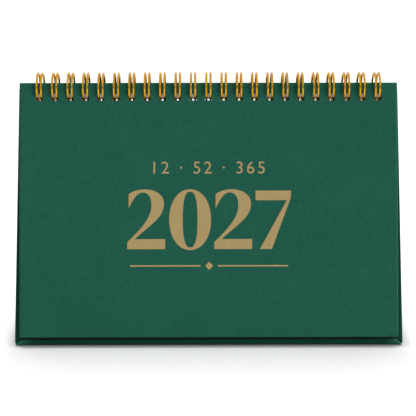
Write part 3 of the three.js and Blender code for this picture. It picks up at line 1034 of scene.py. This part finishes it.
def month_page(month):
    """Flat mesh of a month: its number, the ruled grid and its dates, Monday first.

    Row and column of a date are first + day - 1, divided by seven days, and the rest.
    """
    points, faces = month_meshes[month]
    parts = [rules(), (points + [-GRID_WIDTH / 2, -MONTH_FOOT], faces)]
    first, days = calendar.monthrange(YEAR, month)
    for day in range(1, days + 1):
        row, column = divmod(first + day - 1, WEEK_DAYS)
        points, faces = date_meshes[day]
        x = CELL[0] * column + DATE_INSET[0] - GRID_WIDTH / 2
        y = -GRID_TOP - CELL[1] * row - DATE_INSET[1]
        parts.append((points + [x, y], faces))
    starts = np.cumsum([0] + [len(points) for points, _ in parts[:-1]]).tolist()
    joined = [[start + index for index in face]
              for start, (_, faces) in zip(starts, parts) for face in faces]
    return np.concatenate([points for points, _ in parts]), joined


print("faces on the first month's page:", len(month_page(1)[1]))

# %% [markdown]
# Six leaves printed on both sides hold twelve months. The fronts run from the cover inwards,
# and the backs the other way round, as they come when the whole calendar is turned. Each page
# lies on the face of its leaf, which is measured from the leaf's own mesh.

# %% Both sides of every leaf
LEAVES = 6


def leaf_faces(node):
    """How far out a leaf's inner and outer faces lie: its points along the slope's outward direction."""
    mesh = frame["nodes"][node].data
    corners = np.empty(len(mesh.vertices) * 3)
    mesh.vertices.foreach_get("co", corners)
    out = (corners.reshape(-1, 3) / MM - RING_CENTRE) @ outward
    return out.min(), out.max()


for leaf in range(1, LEAVES + 1):
    node = f"leaf_{leaf:02d}"
    inner_face, outer_face = leaf_faces(node)
    for side, month, out in ((1, LEAVES + 1 - leaf, outer_face + INK),
                             (-1, LEAVES + leaf, inner_face - INK)):
        flat, faces = month_page(month)
        placed = on_slope(flat[:, 0] * side, -flat[:, 1], out, side=1)
        page = film(f"month_{month:02d}_print", placed, faces, ink, INK)
        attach(page, node)
print("months printed:", 2 * LEAVES)

# %% [markdown]
# The floor is a plain pale sheet. Stronger lamps could make it white, but they would bleach
# the calendar too. So a weak glow is added to its own colour, which brings it up to just
# under white. The glow fades out under the calendar, a few millimetres from its foot, and so
# the contact shadow stays. It is stronger beside the calendar than in front of it, as in the
# photograph. The fades are worked out from the distance to the middle, along X and along Y.

# %% Glow of the floor
GLOW_UNDER = 0.03
GLOW_AROUND = 0.12
GLOW_BESIDE = 0.2
FADE_BESIDE = 8.0
FADE_AHEAD = 3.5


def glow_amount(tree, place):
    """Glow under + around * either fade + beside * side fade. A fade is a smooth step of a distance."""
    absolute = {"operation": "ABSOLUTE"}
    multiply_add = {"operation": "MULTIPLY_ADD"}
    smooth = {"interpolation_type": "SMOOTHSTEP"}
    half = EASEL_BOTTOM_WIDTH / 2
    foot = (REAR_CREASE[1] - FRONT_CREASE[1]) / 2 + BOARD_THICKNESS
    axes = add(tree, "ShaderNodeSeparateXYZ", Vector=place)
    across = add(tree, "ShaderNodeMath", absolute, Value=axes.outputs["X"])
    along = add(tree, "ShaderNodeMath", {"operation": "SUBTRACT"}, Value=axes.outputs["Y"],
                Value_001=base_middle * MM)
    along = add(tree, "ShaderNodeMath", absolute, Value=along.outputs[0])
    beside = add(tree, "ShaderNodeMapRange", smooth, Value=across.outputs[0],
                 From_Min=half * MM, From_Max=(half + FADE_BESIDE) * MM)
    ahead = add(tree, "ShaderNodeMapRange", smooth, Value=along.outputs[0],
                From_Min=foot * MM, From_Max=(foot + FADE_AHEAD) * MM)
    around = add(tree, "ShaderNodeMath", {"operation": "MAXIMUM"}, Value=beside.outputs[0],
                 Value_001=ahead.outputs[0])
    amount = add(tree, "ShaderNodeMath", multiply_add, Value=around.outputs[0],
                 Value_001=GLOW_AROUND, Value_002=GLOW_UNDER)
    return add(tree, "ShaderNodeMath", multiply_add, Value=beside.outputs[0],
               Value_001=GLOW_BESIDE, Value_002=amount.outputs[0])


print("glow beside the calendar:", round(GLOW_UNDER + GLOW_AROUND + GLOW_BESIDE, 2))

# %% [markdown]
# The floor's material adds two shaders: a matt white, which takes the light and the shadow,
# and the glow. Light Path tells what kind of ray asks. Only camera rays and reflections see
# the glow, so it lights nothing. The sheet lies a hair below the feet, so that it never
# flickers through their cloth.

# %% Floor
FLOOR_SIZE = 6.0
FLOOR_SINK = 0.02
FLOOR_WHITE = (0.93, 0.93, 0.93, 1)


def studio_floor():
    """Matt white, plus the glow where a camera ray or a reflection meets it."""
    material, tree, place = start_material("studio_floor")
    matt = add(tree, "ShaderNodeBsdfDiffuse", Color=FLOOR_WHITE)
    rays = add(tree, "ShaderNodeLightPath")
    seen = add(tree, "ShaderNodeMath", {"operation": "MAXIMUM"}, Value=rays.outputs["Is Camera Ray"],
               Value_001=rays.outputs["Is Glossy Ray"])
    strength = add(tree, "ShaderNodeMath", {"operation": "MULTIPLY"}, Value=seen.outputs[0],
                   Value_001=glow_amount(tree, place).outputs[0])
    glow = add(tree, "ShaderNodeEmission", Color=(1, 1, 1, 1), Strength=strength.outputs[0])
    both = add(tree, "ShaderNodeAddShader", Shader=matt.outputs[0], Shader_001=glow.outputs[0])
    add(tree, "ShaderNodeOutputMaterial", Surface=both.outputs[0])
    return material


floor_corners = np.array([[-1, -1, 0], [1, -1, 0], [1, 1, 0], [-1, 1, 0]]) * FLOOR_SIZE / 2 / MM
floor = new_piece("floor", floor_corners - [0, 0, FLOOR_SINK], np.array([[0, 1, 2, 3]]),
                  studio_floor(), smooth=False)
print("floor:", FLOOR_SIZE, "m square")

# %% [markdown]
# Camera rays that miss the floor see a white room at strength 1, and so do reflections and
# glass. The calendar itself gets only a fifth of that light, as the lamps do the rest. A
# bright wire needs something dark to mirror, or it looks like plastic, so reflections also
# find a darker band low on the wall in front, which the camera never sees.

# %% World
ROOM_LIGHT = 0.2
FLOOR_EDGE = 0.85
DARK_WALL = 0.3
BAND_LOW = 0.14
BAND_HIGH = 0.27
BAND_END = 0.36
FRONT_START = -0.3
FRONT_FULL = -0.7


def grey(level):
    """A linear grey."""
    return (level, level, level, 1)


world = bpy.data.worlds.new("studio")
bpy.context.scene.world = world
world.use_nodes = True
tree = world.node_tree
tree.nodes.clear()
larger = {"operation": "MAXIMUM"}
rays = add(tree, "ShaderNodeLightPath")
seen = add(tree, "ShaderNodeMath", larger, Value=rays.outputs["Is Camera Ray"],
           Value_001=rays.outputs["Is Glossy Ray"])
seen = add(tree, "ShaderNodeMath", larger, Value=seen.outputs[0],
           Value_001=rays.outputs["Is Transmission Ray"])
level = add(tree, "ShaderNodeMapRange", Value=seen.outputs[0], To_Min=ROOM_LIGHT, To_Max=1.0)
direction = add(tree, "ShaderNodeTexCoord").outputs["Generated"]
direction = add(tree, "ShaderNodeSeparateXYZ", Vector=direction)
wall = add(tree, "ShaderNodeValToRGB", Fac=direction.outputs["Z"],
           stops=((0.0, grey(FLOOR_EDGE)), (BAND_LOW, grey(DARK_WALL)), (BAND_HIGH, grey(DARK_WALL)),
                  (BAND_END, grey(1))))
front = add(tree, "ShaderNodeMapRange", Value=direction.outputs["Y"],
            From_Min=FRONT_START, From_Max=FRONT_FULL)
glossy = add(tree, "ShaderNodeMath", {"operation": "MULTIPLY"}, Value=rays.outputs["Is Glossy Ray"],
             Value_001=front.outputs[0])
room = add(tree, "ShaderNodeMix", {"data_type": "RGBA"}, Factor_Float=glossy.outputs[0],
           A_Color=grey(1), B_Color=wall.outputs["Color"])
sky = add(tree, "ShaderNodeBackground", Color=room.outputs[COLOUR_RESULT], Strength=level.outputs[0])
add(tree, "ShaderNodeOutputWorld", Surface=sky.outputs[0])
print("world nodes:", len(tree.nodes))

# %% [markdown]
# The light is plain and soft: a key from the front right, a weak and very broad fill beside
# it, and one lamp from above and slightly behind, which lights the floor. Sun lamps are used,
# because they light the calendar evenly from side to side. They are hidden from reflections,
# where they would show as hard discs. The key is kept off the floor, because in the picture
# the floor beside the calendar has no long shadow, only the soft one under it.

# %% Lamps
def soft_lamp(name, above, round_from_front, spread, strength):
    """A distant, broad lamp: how high it stands, how far round to the right, and how wide it looks."""
    light = bpy.data.lights.new(name, "SUN")
    light.angle = math.radians(spread)
    light.energy = strength
    lamp = bpy.data.objects.new(name, light)
    bpy.context.scene.collection.objects.link(lamp)
    lamp.rotation_euler = (math.radians(90 - above), 0, math.radians(round_from_front))
    lamp.visible_glossy = False
    return lamp


key = soft_lamp("key", above=30, round_from_front=62, spread=35, strength=2.7)
soft_lamp("fill", above=45, round_from_front=35, spread=60, strength=0.45)
soft_lamp("overhead", above=106, round_from_front=0, spread=40, strength=2.35)

kept_off = bpy.data.collections.new("kept_off_the_floor")
kept_off.objects.link(floor)
kept_off.collection_objects[0].light_linking.link_state = "EXCLUDE"
key.light_linking.receiver_collection = kept_off
print("lamps:", len(bpy.data.lights))

# %% [markdown]
# The photograph looks squarely at the leaning cover from about 70 cm, with a long lens, so
# the cover's sides hardly converge. The camera is aimed at a point of the cover and set back
# along the line of sight. It is turned rather than shifted, so other views need no undoing.

# %% Camera
VIEW_DISTANCE = 688.6
VIEW_DOWN = math.radians(14.37)
VIEW_TURN = math.radians(0.26)
VIEW_ROLL = math.radians(0.035)
LENS = 108.4
AIM = on_slope(-0.27, 66.92, COVER_OUTER, side=1)

camera_data = bpy.data.cameras.new("camera")
camera_data.lens = LENS
camera = bpy.data.objects.new("camera", camera_data)
bpy.context.scene.collection.objects.link(camera)
sight = np.array([math.sin(VIEW_TURN) * math.cos(VIEW_DOWN), math.cos(VIEW_TURN) * math.cos(VIEW_DOWN),
                  -math.sin(VIEW_DOWN)])
camera.location = (AIM - VIEW_DISTANCE * sight) * MM
camera.rotation_euler = (math.pi / 2 - VIEW_DOWN, VIEW_ROLL, -VIEW_TURN)
bpy.context.scene.camera = camera
bpy.context.scene.view_settings.view_transform = "Standard"
print("camera at, m:", [round(value, 3) for value in camera.location])
